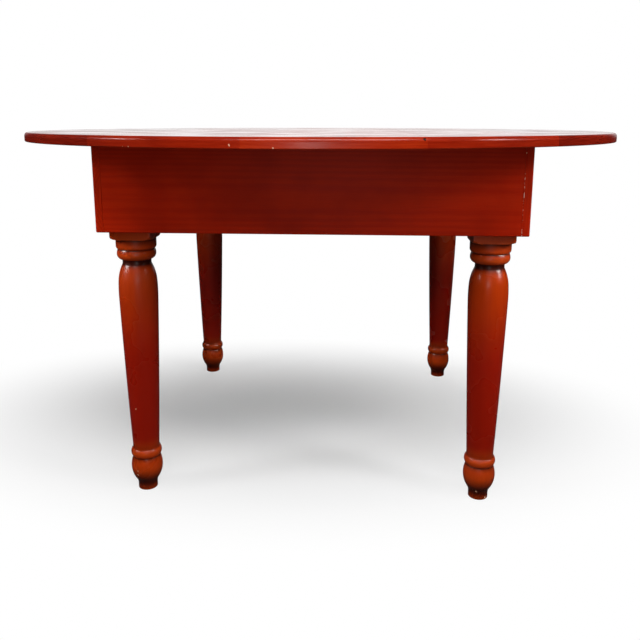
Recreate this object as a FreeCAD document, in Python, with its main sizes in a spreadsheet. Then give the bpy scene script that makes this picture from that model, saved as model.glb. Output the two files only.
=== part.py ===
import FreeCAD, Part
import math
import os
from types import SimpleNamespace

import Sketcher
from FreeCAD import Placement, Rotation, Vector

# Round dining table in solid wood. A plank top rests on a deep square apron box, and four
# turned legs stand inside the corners of the box. The origin lies on the floor under the
# middle of the top, +Z is up, and the front of the apron faces -Y. Lengths are in millimetres.

# Driving dimensions
SIZES = {
    # Top: planks that run from front to back, joined edge to edge and cut to a circle
    "TableHeight": 762.0,
    "TopDiameter": 1345.0,
    "TopThickness": 19.0,
    "TopRound": 7.5,
    "LeftPlank": 276.0,
    "MiddlePlank": 287.0,
    "RightPlank": 234.0,
    "MiddlePlankShift": 53.0,
    # Apron: a square box whose side boards lap the ends of the front and back boards
    "ApronSquare": 835.0,
    "ApronHeight": 172.0,
    "ApronThickness": 19.0,
    "CornerLap": 16.0,
    "ApronArris": 3.0,
    # Square block at the top of each leg, with a shoulder turned at its lower end
    "BlockWidth": 82.0,
    "BlockFlat": 34.0,
    "BlockFlatLength": 140.0,
    "ShoulderRound": 12.0,
    "ShoulderRadius": 46.5,
    # Turned members of the leg, from the floor up
    "AnkleRadius": 20.3,
    "AnkleHeight": 11.0,
    "UrnRadius": 33.0,
    "UrnRise": 42.0,
    "OgeeShare": 0.3,
    "UrnShoulder": 23.0,
    "GrooveRadius": 28.4,
    "BeadHeight": 19.5,
    "BeadRise": 3.9,
    "CoveHeight": 5.5,
    "TaperRadius": 27.7,
    "TaperLength": 338.0,
    "BellyRadius": 39.7,
    "BellyCurve": 400.0,
    "BellyRise": 24.0,
    "VaseShoulder": 61.0,
    "NeckRadius": 28.9,
    "NeckHeight": 8.5,
    "CollarRadius": 39.3,
    "CollarLower": 12.0,
    "CollarUpper": 10.0,
    "QuirkRadius": 37.0,
    "BandRadius": 40.6,
    "BandCurve": 7.0,
    "BandHeight": 15.0,
    # Battens across the planks
    "BattenWidth": 60.0,
    "BattenThickness": 22.0,
    "BattenSpacing": 190.0,
    "BattenBevel": 12.0,
    # Corner braces, let into kerfs of the apron boards
    "BraceHeight": 100.0,
    "BraceThickness": 22.0,
    "BraceDrop": 28.0,
    "BraceGap": 6.0,
    "KerfWidth": 5.0,
    "KerfDepth": 6.0,
    "KerfClearance": 0.15,
    # Glue blocks in the angle between the apron and the top
    "GlueBlockSide": 28.0,
    "GlueBlockLength": 80.0,
    "GlueBlockPlace": 95.0,
    # Hanger bolts and their nuts
    "BoltDiameter": 8.0,
    "BoltGrip": 45.0,
    "BoltProud": 4.0,
    "BoltHoleClearance": 0.5,
    "ThreadClearance": 0.1,
    "NutWidth": 13.0,
    "NutThickness": 6.5,
    # Allowance for cuts that run out of the wood
    "Overrun": 5.0,
}

doc = FreeCAD.newDocument("RoundDiningTable")
sheet = doc.addObject("Spreadsheet::Sheet", "Sizes")
for row, (alias, value) in enumerate(SIZES.items(), start=1):
    sheet.set(f"A{row}", alias)
    sheet.set(f"B{row}", str(value))
    sheet.setAlias(f"B{row}", alias)
doc.recompute()


class Size:
    """A length written as a formula in the sheet's names, with its value beside it."""

    def __init__(self, formula, value):
        self.formula = formula
        self.value = value

    @staticmethod
    def of(item):
        return item if isinstance(item, Size) else Size(str(item), float(item))

    def __add__(self, other):
        other = Size.of(other)
        return Size(f"({self.formula} + {other.formula})", self.value + other.value)

    def __sub__(self, other):
        other = Size.of(other)
        return Size(f"({self.formula} - {other.formula})", self.value - other.value)

    def __mul__(self, other):
        other = Size.of(other)
        return Size(f"({self.formula} * {other.formula})", self.value * other.value)

    def __truediv__(self, other):
        other = Size.of(other)
        return Size(f"({self.formula} / {other.formula})", self.value / other.value)

    def __neg__(self):
        return Size(f"(-{self.formula})", -self.value)

    def root(self):
        return Size(f"sqrt({self.formula})", math.sqrt(self.value))


dim = SimpleNamespace(**{alias: Size(f"Sizes.{alias}", value) for alias, value in SIZES.items()})
ZERO = Size("0", 0.0)
NEARLY_ZERO = 1e-4


def diagonal_of(side):
    """Diagonal of a square with this side."""
    return side * Size("sqrt(2)", math.sqrt(2))


def side_of(diagonal):
    """Side of the square with this diagonal."""
    return diagonal / Size("sqrt(2)", math.sqrt(2))


# Places that follow from the driving dimensions
top_radius = dim.TopDiameter / 2
underside = dim.TableHeight - dim.TopThickness
apron_half = dim.ApronSquare / 2
apron_inside = apron_half - dim.ApronThickness
apron_bottom = underside - dim.ApronHeight
block_half = dim.BlockWidth / 2
leg_place = apron_inside - block_half
seam_left = dim.MiddlePlankShift - dim.MiddlePlank / 2
seam_right = dim.MiddlePlankShift + dim.MiddlePlank / 2
seam_far_left = seam_left - dim.LeftPlank
seam_far_right = seam_right + dim.RightPlank

# Distances from an inner corner of the apron, measured along the corner's diagonal
flat_depth = dim.BlockFlat / 2
flat_from_corner = diagonal_of(dim.BlockWidth) - flat_depth
brace_outer = flat_from_corner + dim.BraceGap
brace_inner = brace_outer + dim.BraceThickness
kerf_place = apron_inside - side_of(brace_outer + brace_inner)
brace_bottom = underside - dim.BraceDrop - dim.BraceHeight
bolt_height = brace_bottom + dim.BraceHeight / 2


def bind(item, setting, size):
    """Tie one property of a feature to a formula."""
    item.setExpression(setting, size.formula)


def new_body(label):
    body = doc.addObject("PartDesign::Body", label)
    body.Label = label
    return body


def place(body, x, y, z, turn=0.0):
    """Put a body at a place, turned about +Z by an angle in degrees."""
    body.Placement = Placement(Vector(), Rotation(Vector(0, 0, 1), turn))
    for axis, size in (("x", x), ("y", y), ("z", z)):
        bind(body, f"Placement.Base.{axis}", size)


def new_sketch(body, name, role, height=None):
    """Start a sketch on one of the body's own planes, raised along the plane's normal."""
    sketch = body.newObject("Sketcher::SketchObject", name)
    plane = next(item for item in body.Origin.OriginFeatures if item.Role == role)
    sketch.AttachmentSupport = [(plane, "")]
    sketch.MapMode = "FlatFace"
    if height is not None:
        bind(sketch, "AttachmentOffset.Base.z", height)
    return sketch


def tie(sketch, parts, size):
    """Add a dimension to the sketch and tie it to a formula."""
    number = sketch.addConstraint(Sketcher.Constraint(*parts, size.value))
    bind(sketch, f"Constraints[{number}]", size)


class Outline:
    """A closed outline of straight edges in a sketch, with every corner tied to a formula."""

    def __init__(self, sketch, x, y):
        self.sketch = sketch
        self.corners = [(x, y)]

    def line(self, x, y):
        self.corners.append((x, y))
        return self

    def facets(self, x, y, radius, centre_on_left, halvings):
        """Follow an arc with straight facets, made by halving it a number of times."""
        if not halvings:
            return self.line(x, y)
        start_x, start_y = self.corners[-1]
        half_x = (x - start_x) / 2
        half_y = (y - start_y) / 2
        half_chord = (half_x * half_x + half_y * half_y).root()
        rise = radius - (radius * radius - half_chord * half_chord).root()
        lean = rise / half_chord if centre_on_left else -rise / half_chord
        middle_x = start_x + half_x + half_y * lean
        middle_y = start_y + half_y - half_x * lean
        self.facets(middle_x, middle_y, radius, centre_on_left, halvings - 1)
        return self.facets(x, y, radius, centre_on_left, halvings - 1)

    def close(self):
        """Draw the edges, join them end to end and tie their corners."""
        places = [Vector(x.value, y.value) for x, y in self.corners]
        edges = []
        for begin, finish in zip(places, places[1:] + places[:1]):
            edges.append(self.sketch.addGeometry(Part.LineSegment(begin, finish)))
        for edge, after, (x, y) in zip(edges, edges[1:] + edges[:1], self.corners):
            self.sketch.addConstraint(Sketcher.Constraint("Coincident", edge, 2, after, 1))
            tie(self.sketch, ("DistanceX", edge, 1), x)
            tie(self.sketch, ("DistanceY", edge, 1), y)


def rectangle(sketch, west, east, south, north):
    Outline(sketch, west, south).line(east, south).line(east, north).line(west, north).close()


def circle(sketch, x, y, radius):
    edge = sketch.addGeometry(Part.Circle(Vector(x.value, y.value), Vector(0, 0, 1), radius.value))
    tie(sketch, ("DistanceX", edge, 3), x)
    tie(sketch, ("DistanceY", edge, 3), y)
    tie(sketch, ("Radius", edge), radius)


def pad(body, sketch, length, side="One side", back_length=None):
    feature = body.newObject("PartDesign::Pad", sketch.Name + "Pad")
    feature.Profile = sketch
    feature.SideType = side
    bind(feature, "Length", length)
    if back_length is not None:
        bind(feature, "Length2", back_length)
    return feature


def pocket(body, sketch, depth, side="One side", reversed_way=False):
    feature = body.newObject("PartDesign::Pocket", sketch.Name + "Pocket")
    feature.Profile = sketch
    feature.SideType = side
    feature.Reversed = reversed_way
    bind(feature, "Length", depth)
    return feature


def turn_on_lathe(body, sketch, kind):
    """Spin a half-section about the upright axis of its sketch, to add or to remove wood."""
    feature = body.newObject(kind, sketch.Name + "Turning")
    feature.Profile = sketch
    feature.ReferenceAxis = (sketch, ["V_Axis"])
    feature.Angle = 360.0
    return feature


def around_the_table(body, features):
    """Repeat features at the table's four corners or sides."""
    pattern = body.newObject("PartDesign::PolarPattern", "AroundTheTable")
    pattern.Originals = features
    axis = next(item for item in body.Origin.OriginFeatures if item.Role == "Z_Axis")
    pattern.Axis = (axis, [""])
    pattern.Occurrences = 4
    pattern.Angle = 360.0
    body.Tip = pattern


def diagonal_sketch(body, name, distance):
    """Start a sketch square to the diagonal of the front left corner.

    The sketch lies at a distance from the body's own axis, and its normal points outwards.
    """
    sketch = new_sketch(body, name, "XZ_Plane")
    sketch.AttachmentOffset = Placement(Vector(), Rotation(Vector(0, 1, 0), -45.0))
    bind(sketch, "AttachmentOffset.Base.x", -side_of(distance))
    bind(sketch, "AttachmentOffset.Base.z", side_of(distance))
    return sketch


def level_radius(run, rise):
    """Radius of the arc that leaves one of its two ends upright."""
    return (run * run + rise * rise) / (run * 2)


def bulge_radius(half_chord, rise):
    """Radius of the arc that stands a given rise proud of its chord."""
    return (half_chord * half_chord + rise * rise) / (rise * 2)


# Planks of the top
def make_plank(label, west, east):
    """One plank: the turned disc of the top, cut away beyond the plank's two seams."""
    body = new_body(label)
    rim = new_sketch(body, "RimSection", "XZ_Plane")
    outline = Outline(rim, ZERO, ZERO)
    outline.line(top_radius, ZERO)
    outline.line(top_radius, dim.TopThickness - dim.TopRound)
    outline.facets(top_radius - dim.TopRound, dim.TopThickness, dim.TopRound, True, 1)
    outline.line(ZERO, dim.TopThickness)
    outline.close()
    turn_on_lathe(body, rim, "PartDesign::Revolution")
    reach = top_radius + dim.Overrun
    waste = new_sketch(body, "BeyondSeams", "XY_Plane")
    if west is not None:
        rectangle(waste, -reach, west, -reach, reach)
    if east is not None:
        rectangle(waste, east, reach, -reach, reach)
    pocket(body, waste, (dim.TopThickness + dim.Overrun) * 2, side="Symmetric")
    place(body, ZERO, ZERO, underside)
    return body


planks = {
    "top_plank_far_left": (None, seam_far_left),
    "top_plank_left": (seam_far_left, seam_left),
    "top_plank_middle": (seam_left, seam_right),
    "top_plank_right": (seam_right, seam_far_right),
    "top_plank_far_right": (seam_far_right, None),
}
pieces = []
for label, (west, east) in planks.items():
    pieces.append(make_plank(label, west, east))


# Battens under the planks, with a bevel under each end
def make_batten(label, y):
    body = new_body(label)
    side = new_sketch(body, "SideView", "XZ_Plane")
    outline = Outline(side, -apron_inside, ZERO)
    outline.line(-apron_inside, -(dim.BattenThickness - dim.BattenBevel))
    outline.line(dim.BattenBevel - apron_inside, -dim.BattenThickness)
    outline.line(apron_inside - dim.BattenBevel, -dim.BattenThickness)
    outline.line(apron_inside, -(dim.BattenThickness - dim.BattenBevel))
    outline.line(apron_inside, ZERO)
    outline.close()
    pad(body, side, dim.BattenWidth, side="Symmetric")
    place(body, ZERO, y, underside)
    return body


pieces.append(make_batten("batten_front", -dim.BattenSpacing))
pieces.append(make_batten("batten_middle", ZERO))
pieces.append(make_batten("batten_back", dim.BattenSpacing))


# Apron boards. Each is drawn with its outer face on y = 0 and its inner face towards +y.
def kerfs(body, height):
    """Kerfs for the braces, open at the board's upper edge."""
    sketch = new_sketch(body, "Kerfs", "XY_Plane", dim.ApronHeight)
    mouth = dim.ApronThickness + dim.Overrun
    floor = dim.ApronThickness - dim.KerfDepth
    half = dim.KerfWidth / 2 + dim.KerfClearance
    for middle in (kerf_place, -kerf_place):
        rectangle(sketch, middle - half, middle + half, floor, mouth)
    pocket(body, sketch, height)


def ease_lower_edges(body, feature, end_place=None):
    """Round the lower edge of the outer face and, on a side board, of its two ends."""
    chosen = []
    for number, edge in enumerate(feature.Shape.Edges, start=1):
        box = edge.BoundBox
        outer = box.YMax < NEARLY_ZERO
        lower = box.ZMax < NEARLY_ZERO
        middle = abs(edge.CenterOfMass.x)
        at_end = end_place is not None and middle > end_place.value - NEARLY_ZERO
        if lower and (outer or at_end):
            chosen.append(f"Edge{number}")
    rounded = body.newObject("PartDesign::Fillet", "Arris")
    rounded.Base = (feature, chosen)
    bind(rounded, "Radius", dim.ApronArris)


def make_face_board(label, y, turn):
    """Front or back board: square ends that fit between the laps of the side boards."""
    body = new_body(label)
    plan = new_sketch(body, "Plan", "XY_Plane")
    half = apron_half - dim.CornerLap
    rectangle(plan, -half, half, ZERO, dim.ApronThickness)
    board = pad(body, plan, dim.ApronHeight)
    doc.recompute()
    ease_lower_edges(body, board)
    kerfs(body, dim.BraceDrop + dim.BraceHeight)
    place(body, ZERO, y, apron_bottom, turn)
    return body


def make_side_board(label, x, turn):
    """Left or right board: a rebate across each end takes the front or back board."""
    body = new_body(label)
    plan = new_sketch(body, "Plan", "XY_Plane")
    rebate = apron_half - dim.ApronThickness
    outline = Outline(plan, -apron_half, ZERO)
    outline.line(apron_half, ZERO)
    outline.line(apron_half, dim.CornerLap)
    outline.line(rebate, dim.CornerLap)
    outline.line(rebate, dim.ApronThickness)
    outline.line(-rebate, dim.ApronThickness)
    outline.line(-rebate, dim.CornerLap)
    outline.line(-apron_half, dim.CornerLap)
    outline.close()
    board = pad(body, plan, dim.ApronHeight)
    doc.recompute()
    ease_lower_edges(body, board, apron_half)
    kerfs(body, dim.BraceDrop + dim.BraceHeight)
    place(body, x, ZERO, apron_bottom, turn)
    return body


pieces.append(make_face_board("apron_front", -apron_half, 0.0))
pieces.append(make_side_board("apron_right", apron_half, 90.0))
pieces.append(make_face_board("apron_back", apron_half, 180.0))
pieces.append(make_side_board("apron_left", -apron_half, 270.0))


# Legs, turned from square stock
def draw_leg_waste(sketch):
    """Half-section of what the lathe removes, from the floor up to the block's shoulder."""
    stock = dim.BlockWidth
    outline = Outline(sketch, stock, -dim.Overrun)
    outline.line(dim.AnkleRadius, -dim.Overrun)
    level = dim.AnkleHeight
    outline.line(dim.AnkleRadius, level)
    # Ogee from the ankle to the widest part of the urn
    run = dim.UrnRadius - dim.AnkleRadius
    both = level_radius(run, dim.UrnRise)
    hollow = both * dim.OgeeShare
    turn_over = dim.AnkleRadius + run * dim.OgeeShare
    outline.facets(turn_over, level + dim.UrnRise * dim.OgeeShare, hollow, False, 0)
    level = level + dim.UrnRise
    outline.facets(dim.UrnRadius, level, both - hollow, True, 1)
    # Shoulder of the urn down into the groove
    run = dim.UrnRadius - dim.GrooveRadius
    level = level + dim.UrnShoulder
    outline.facets(dim.GrooveRadius, level, level_radius(run, dim.UrnShoulder), True, 1)
    # Bead, and the small cove that meets the taper
    level = level + dim.BeadHeight
    bead = bulge_radius(dim.BeadHeight / 2, dim.BeadRise)
    outline.facets(dim.GrooveRadius, level, bead, True, 2)
    level = level + dim.CoveHeight
    outline.line(dim.TaperRadius, level)
    # Long taper up to the belly of the vase
    level = level + dim.TaperLength
    outline.line(dim.BellyRadius, level)
    flank = (dim.BellyCurve * dim.BellyCurve - dim.BellyRise * dim.BellyRise).root()
    above = dim.BellyRadius - dim.BellyCurve + flank
    outline.line(above, level + dim.BellyRise)
    # Shoulder of the vase, tangent to the belly
    run = above - dim.NeckRadius
    rise = dim.VaseShoulder - dim.BellyRise
    level = level + dim.VaseShoulder
    sine = dim.BellyRise / dim.BellyCurve
    cosine = flank / dim.BellyCurve
    shoulder = (run * run + rise * rise) / ((cosine * run - sine * rise) * 2)
    outline.facets(dim.NeckRadius, level, shoulder, True, 2)
    level = level + dim.NeckHeight
    outline.line(dim.NeckRadius, level)
    # Collar under the band
    run = dim.CollarRadius - dim.NeckRadius
    level = level + dim.CollarLower
    outline.facets(dim.CollarRadius, level, level_radius(run, dim.CollarLower), True, 1)
    run = dim.CollarRadius - dim.QuirkRadius
    level = level + dim.CollarUpper
    outline.facets(dim.QuirkRadius, level, level_radius(run, dim.CollarUpper), True, 1)
    level = level + dim.BandCurve
    outline.line(dim.BandRadius, level)
    level = level + dim.BandHeight
    outline.line(dim.BandRadius, level)
    # Rounded corners of the block
    outline.line(dim.ShoulderRadius, level)
    level = level + dim.ShoulderRound
    corner_radius = dim.ShoulderRadius + dim.ShoulderRound
    outline.facets(corner_radius, level, dim.ShoulderRound, True, 1)
    outline.line(stock, level)
    outline.close()


def make_leg(label, x, y, turn):
    """One leg. As drawn, its inner corner points to +x and +y."""
    body = new_body(label)
    square = new_sketch(body, "Stock", "XY_Plane")
    rectangle(square, -block_half, block_half, -block_half, block_half)
    pad(body, square, underside)
    waste = new_sketch(body, "Waste", "XZ_Plane")
    draw_leg_waste(waste)
    turn_on_lathe(body, waste, "PartDesign::Groove")
    # Flat across the inner corner, stopped above the shoulder
    flat = new_sketch(body, "InnerFlat", "XY_Plane", underside)
    corner = block_half + dim.Overrun
    reach = dim.Overrun * 2 + side_of(dim.BlockFlat)
    outline = Outline(flat, corner, corner)
    outline.line(corner - reach, corner).line(corner, corner - reach).close()
    pocket(body, flat, dim.BlockFlatLength)
    # Bore for the hanger bolt, on the diagonal
    bore = diagonal_sketch(body, "BoltBore", dim.BoltGrip - (diagonal_of(block_half) - flat_depth))
    circle(bore, ZERO, bolt_height, dim.BoltDiameter / 2 + dim.ThreadClearance)
    pocket(body, bore, dim.BlockWidth)
    place(body, x, y, ZERO, turn)
    return body


corners = [
    ("front_left", -leg_place, -leg_place, 0.0),
    ("front_right", leg_place, -leg_place, 90.0),
    ("back_right", leg_place, leg_place, 180.0),
    ("back_left", -leg_place, leg_place, 270.0),
]
for name, x, y, turn in corners:
    pieces.append(make_leg("leg_" + name, x, y, turn))


# Corner braces. Each is drawn with the apron's inner corner at its origin, +y inwards.
def make_brace(label, x, y, turn):
    body = new_body(label)
    plan = new_sketch(body, "Plan", "XY_Plane")
    middle = (brace_outer + brace_inner) / 2
    half_tongue = side_of(dim.KerfWidth) / 2
    depth = side_of(dim.KerfDepth)
    near = middle - half_tongue
    far = middle + half_tongue
    outline = Outline(plan, -brace_outer, brace_outer)
    outline.line(brace_outer, brace_outer)
    outline.line(near, near)
    outline.line(near + depth, near - depth)
    outline.line(far + depth, far - depth)
    outline.line(far, far)
    outline.line(brace_inner, brace_inner)
    outline.line(-brace_inner, brace_inner)
    outline.line(-far, far)
    outline.line(-far - depth, far - depth)
    outline.line(-near - depth, near - depth)
    outline.line(-near, near)
    outline.close()
    pad(body, plan, dim.BraceHeight)
    hole = new_sketch(body, "BoltHole", "XZ_Plane")
    radius = dim.BoltDiameter / 2 + dim.BoltHoleClearance
    circle(hole, ZERO, bolt_height - brace_bottom, radius)
    pocket(body, hole, (brace_inner + dim.Overrun) * 2, side="Symmetric")
    place(body, x, y, brace_bottom, turn)
    return body


brace_corners = [
    ("front_left", -apron_inside, -apron_inside, -45.0),
    ("front_right", apron_inside, -apron_inside, 45.0),
    ("back_right", apron_inside, apron_inside, 135.0),
    ("back_left", -apron_inside, apron_inside, 225.0),
]
for name, x, y, turn in brace_corners:
    pieces.append(make_brace("corner_brace_" + name, x, y, turn))


# Hanger bolts and nuts, one group each
brace_face = diagonal_of(apron_inside) - brace_inner


def make_hanger_bolts():
    body = new_body("hanger_bolts")
    end = diagonal_sketch(body, "BoltEnd", brace_face)
    circle(end, ZERO, bolt_height, dim.BoltDiameter / 2)
    inwards = brace_inner - flat_from_corner + dim.BoltGrip
    outwards = dim.NutThickness + dim.BoltProud
    bolt = pad(body, end, inwards, side="Two sides", back_length=outwards)
    around_the_table(body, [bolt])
    return body


def make_bolt_nuts():
    body = new_body("bolt_nuts")
    hexagon = diagonal_sketch(body, "Hexagon", brace_face)
    flat = dim.NutWidth / 2
    corner = dim.NutWidth / Size("sqrt(3)", math.sqrt(3.0))
    outline = Outline(hexagon, corner, bolt_height)
    outline.line(corner / 2, bolt_height + flat)
    outline.line(-corner / 2, bolt_height + flat)
    outline.line(-corner, bolt_height)
    outline.line(-corner / 2, bolt_height - flat)
    outline.line(corner / 2, bolt_height - flat)
    outline.close()
    circle(hexagon, ZERO, bolt_height, dim.BoltDiameter / 2 + dim.ThreadClearance)
    nut = pad(body, hexagon, dim.NutThickness)
    nut.Reversed = True
    around_the_table(body, [nut])
    return body


pieces.append(make_hanger_bolts())
pieces.append(make_bolt_nuts())


# Glue blocks, two on each apron board
def make_glue_blocks():
    body = new_body("glue_blocks")
    blocks = []
    for name, middle in (("FrontSection", -dim.GlueBlockPlace), ("BackSection", dim.GlueBlockPlace)):
        section = new_sketch(body, name, "XZ_Plane", -middle)
        outline = Outline(section, apron_inside, underside)
        outline.line(apron_inside - dim.GlueBlockSide, underside)
        outline.line(apron_inside, underside - dim.GlueBlockSide)
        outline.close()
        blocks.append(pad(body, section, dim.GlueBlockLength, side="Symmetric"))
    around_the_table(body, blocks)
    return body


pieces.append(make_glue_blocks())

doc.recompute()

# Every feature must be sound, and every cut must take wood away
for item in doc.Objects:
    if "Invalid" in item.State or "Error" in item.State:
        raise RuntimeError(f"{item.Name} did not compute: {item.State}")
    if item.TypeId in ("PartDesign::Pocket", "PartDesign::Groove"):
        if item.Shape.Volume >= item.BaseFeature.Shape.Volume:
            raise RuntimeError(f"{item.Name} removes nothing")
for piece in pieces:
    if piece.Shape.isNull() or not piece.Shape.isValid():
        raise RuntimeError(f"{piece.Label} has no sound shape")

os.makedirs("parts", exist_ok=True)
for piece in pieces:
    piece.Shape.exportStep(f"parts/{piece.Label}.step")
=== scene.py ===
"""Round dining table in stained wood: its visible pieces, finishes, studio and camera.

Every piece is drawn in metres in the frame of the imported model: the origin is on the floor
under the middle of the top, +Z is up and the front board of the apron faces -Y.
"""

import logging
import math
from dataclasses import dataclass, replace
from enum import Enum

import bmesh
import bpy
import numpy as np
from mathutils import Matrix


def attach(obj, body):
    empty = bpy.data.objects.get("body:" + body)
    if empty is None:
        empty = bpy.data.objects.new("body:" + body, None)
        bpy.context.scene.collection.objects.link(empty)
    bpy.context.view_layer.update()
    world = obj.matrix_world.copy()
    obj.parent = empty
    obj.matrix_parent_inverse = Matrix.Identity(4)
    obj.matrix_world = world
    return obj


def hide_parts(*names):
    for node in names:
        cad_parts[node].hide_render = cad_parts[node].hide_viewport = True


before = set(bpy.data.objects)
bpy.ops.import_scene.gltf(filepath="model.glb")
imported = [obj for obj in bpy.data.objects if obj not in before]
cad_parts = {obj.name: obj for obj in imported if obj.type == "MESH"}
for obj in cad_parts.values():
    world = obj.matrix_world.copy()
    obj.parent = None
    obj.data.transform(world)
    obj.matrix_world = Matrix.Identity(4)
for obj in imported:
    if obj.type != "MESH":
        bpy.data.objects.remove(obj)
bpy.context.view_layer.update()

LOG = logging.getLogger("dining_table")
MM = 0.001
TURN = 2.0 * math.pi
QUARTER = math.pi / 2.0
SHARP_DEGREES = 30.0

# Settings of nodes that mix colours, that ease between two levels, and that multiply
COLOURS = {"data_type": "RGBA"}
EASED = {"interpolation_type": "SMOOTHSTEP"}
TIMES = {"operation": "MULTIPLY"}

Tree = bpy.types.NodeTree
Socket = bpy.types.NodeSocket
Piece = bpy.types.Object
Material = bpy.types.Material
Pair = tuple[float, float]
Triple = tuple[float, float, float]


class Grain(Enum):
    """Direction in which the fibres of a piece run."""

    ALONG_X = 0
    ALONG_Y = 1
    ALONG_Z = 2


class Surface(Enum):
    """How a face of stained wood was made."""

    PLAIN = 0
    RUBBED_FACE = 1
    CUT_EDGE = 2


class Slot(Enum):
    """Material slots of the record."""

    STAINED = "stained_wood"
    BARE = "bare_wood"
    STEEL = "steel"


# ---- Nodes


def linear(hex_colour: str) -> tuple[float, float, float, float]:
    """Turn an sRGB hex colour into linear RGBA.

    Args:
        hex_colour: Six hex digits, such as "7A2418".

    Returns:
        The linear red, green and blue shares and an alpha of 1.
    """
    shares = [int(hex_colour[place : place + 2], 16) / 255.0 for place in (0, 2, 4)]
    return (*(s / 12.92 if s <= 0.04045 else ((s + 0.055) / 1.055) ** 2.4 for s in shares), 1.0)


def add_node(
    tree: Tree, kind: str, settings: dict | None = None, links: dict | None = None
) -> bpy.types.Node:
    """Add a node with its settings and links.

    Args:
        tree: The node tree that takes the node.
        kind: The node's type, without the ShaderNode in front.
        settings: Values by property name, or by input name or number.
        links: Sockets that feed the node, by input name or number.

    Returns:
        The new node.
    """
    node = tree.nodes.new("ShaderNode" + kind)
    for key, value in (settings or {}).items():
        if isinstance(key, str) and hasattr(node, key):
            setattr(node, key, value)
        else:
            node.inputs[key].default_value = value
    for key, socket in (links or {}).items():
        tree.links.new(socket, node.inputs[key])
    return node


def new_material(name: str) -> tuple[Material, Tree]:
    """Make an empty node material.

    Args:
        name: What the real finish is called.

    Returns:
        The material and its cleared node tree.
    """
    material = bpy.data.materials.new(name)
    material.use_nodes = True
    material.node_tree.nodes.clear()
    return material, material.node_tree


# ---- Meshes


def new_object(name: str, data: bpy.types.ID) -> Piece:
    """Make an object and link it to the scene, standing at the origin.

    Args:
        name: The object's name.
        data: Its mesh, lamp or camera.

    Returns:
        The object.
    """
    made = bpy.data.objects.new(name, data)
    bpy.context.scene.collection.objects.link(made)
    return made


def mesh_piece(name: str, points: np.ndarray, faces: list[np.ndarray]) -> Piece:
    """Make an object from points and blocks of faces, turned so that they face outwards.

    The enclosed volume is a sixth of the sum of a . (b x c) over the triangles a, b, c of the
    faces. Where it is negative, every face is turned over.

    Args:
        name: The piece's name.
        points: Corner places in metres, one row each.
        faces: Arrays of corner numbers, one face per row.

    Returns:
        The object.
    """
    fans = np.concatenate([
        np.stack([block[:, 0], block[:, k], block[:, k + 1]], axis=1)
        for block in faces
        for k in range(1, block.shape[1] - 1)
    ])
    a, b, c = (points[fans[:, corner]] for corner in range(3))
    if np.einsum("ij,ij->i", a, np.cross(b, c)).sum() < 0.0:
        faces = [block[:, ::-1] for block in faces]
    mesh = bpy.data.meshes.new(name)
    mesh.from_pydata(points.tolist(), [], [row for block in faces for row in block.tolist()])
    mesh.validate()
    mesh.shade_smooth()
    mesh.set_sharp_from_angle(angle=math.radians(SHARP_DEGREES))
    return new_object(name, mesh)


def ring_faces(rows: int, columns: int, closed: bool = False) -> np.ndarray:
    """Quads of a grid of rings: row i, place j to row i + 1, place j + 1.

    Args:
        rows: Number of rings.
        columns: Number of points in each ring.
        closed: True if the last ring joins the first again.

    Returns:
        Corner numbers, four per quad.
    """
    spans = np.arange(rows if closed else rows - 1)
    row, column = np.meshgrid(spans, np.arange(columns), indexing="ij")
    beside, above = (column + 1) % columns, (row + 1) % rows
    quads = [row * columns + column, row * columns + beside]
    quads += [above * columns + beside, above * columns + column]
    return np.stack([part.ravel() for part in quads], axis=1)


def tube_piece(name: str, grid: np.ndarray) -> Piece:
    """Make a closed piece from rings of points, with a fan of triangles over each end.

    Args:
        name: The piece's name.
        grid: Points by ring, by place round the ring and by axis.

    Returns:
        The object.
    """
    rows, columns, _ = grid.shape
    middles = np.stack([grid[0].mean(axis=0), grid[-1].mean(axis=0)])
    points = np.concatenate([grid.reshape(-1, 3), middles])
    here = np.arange(columns)
    beside = (here + 1) % columns
    last = (rows - 1) * columns
    start = np.stack([np.full(columns, rows * columns), beside, here], axis=1)
    end = np.stack([np.full(columns, rows * columns + 1), last + here, last + beside], axis=1)
    return mesh_piece(name, points, [ring_faces(rows, columns), start, end])


def ring_group(
    name: str, grids: list[np.ndarray], closed: bool = False, bevel_mm: float = 0.0
) -> Piece:
    """Make one piece of several closed forms, each from rings of points.

    Args:
        name: The piece's name.
        grids: For each form, its points by ring, by place round the ring and by axis.
        closed: True if the last ring joins the first again, so that no end is open. Otherwise
            one flat face closes each end.
        bevel_mm: Width of the rounding on all its sharp edges, by a modifier.

    Returns:
        The object.
    """
    points, faces, start = [], [], 0
    for grid in grids:
        rows, columns, _ = grid.shape
        faces.append(ring_faces(rows, columns, closed) + start)
        if not closed:
            here = np.arange(columns)[None, :]
            faces += [here[:, ::-1] + start, here + start + (rows - 1) * columns]
        points.append(grid.reshape(-1, 3))
        start += rows * columns
    piece = mesh_piece(name, np.concatenate(points), faces)
    if bevel_mm:
        bevel = piece.modifiers.new("arris", "BEVEL")
        bevel.width = bevel_mm * MM
        bevel.segments = 3
        bevel.limit_method = "ANGLE"
        bevel.harden_normals = True
    return piece


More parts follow.
